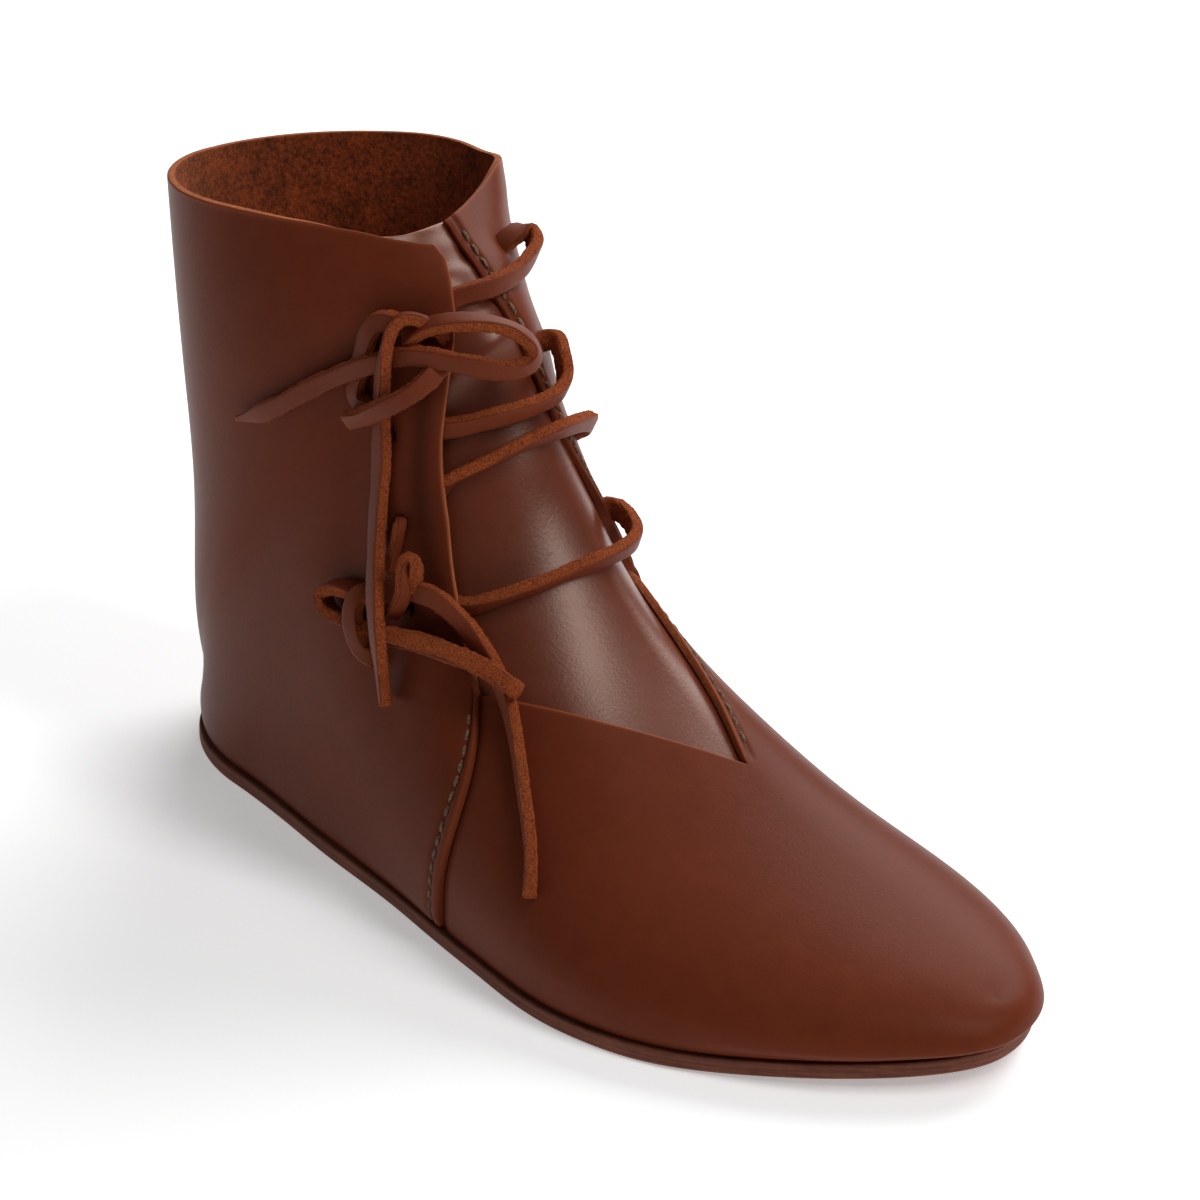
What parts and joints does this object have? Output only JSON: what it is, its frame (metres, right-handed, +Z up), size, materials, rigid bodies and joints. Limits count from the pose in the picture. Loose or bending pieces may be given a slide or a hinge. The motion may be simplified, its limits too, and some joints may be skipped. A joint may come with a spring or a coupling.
{
  "type": "medieval ankle shoe",
  "caption": "Side-laced leather ankle shoe for the right foot: thin flat sole, vamp and quarter joined at side seams, free lateral flap over a tongue, tied with leather thongs.",
  "frame": {"origin": "on the floor under the middle of the sole's length, on the line that joins heel and toe", "axes": "+X to the toe, +Y to the medial side of the right foot, +Z up"},
  "size_m": [0.2789, 0.1092, 0.1642],
  "materials": {
    "upper_leather": "smooth satin chestnut leather",
    "sole_leather": "dark matt leather edge",
    "flesh_leather": "fuzzy flesh side",
    "thong_leather": "cut leather thong"
  },
  "bodies": {
    "root": {"outsole": "sole_leather", "insole": "flesh_leather", "upper": "upper_leather", "tongue": "upper_leather", "lace_bar_1": "thong_leather", "lace_bar_2": "thong_leather", "lace_bar_3": "thong_leather", "lace_bar_4": "thong_leather", "upper_knot": "thong_leather", "upper_loop": "thong_leather", "upper_end_back": "thong_leather", "upper_end_down": "thong_leather", "lower_knot": "thong_leather", "lower_loop_back": "thong_leather", "lower_loop_front": "thong_leather", "lower_end": "thong_leather"}
  },
  "joints": []
}
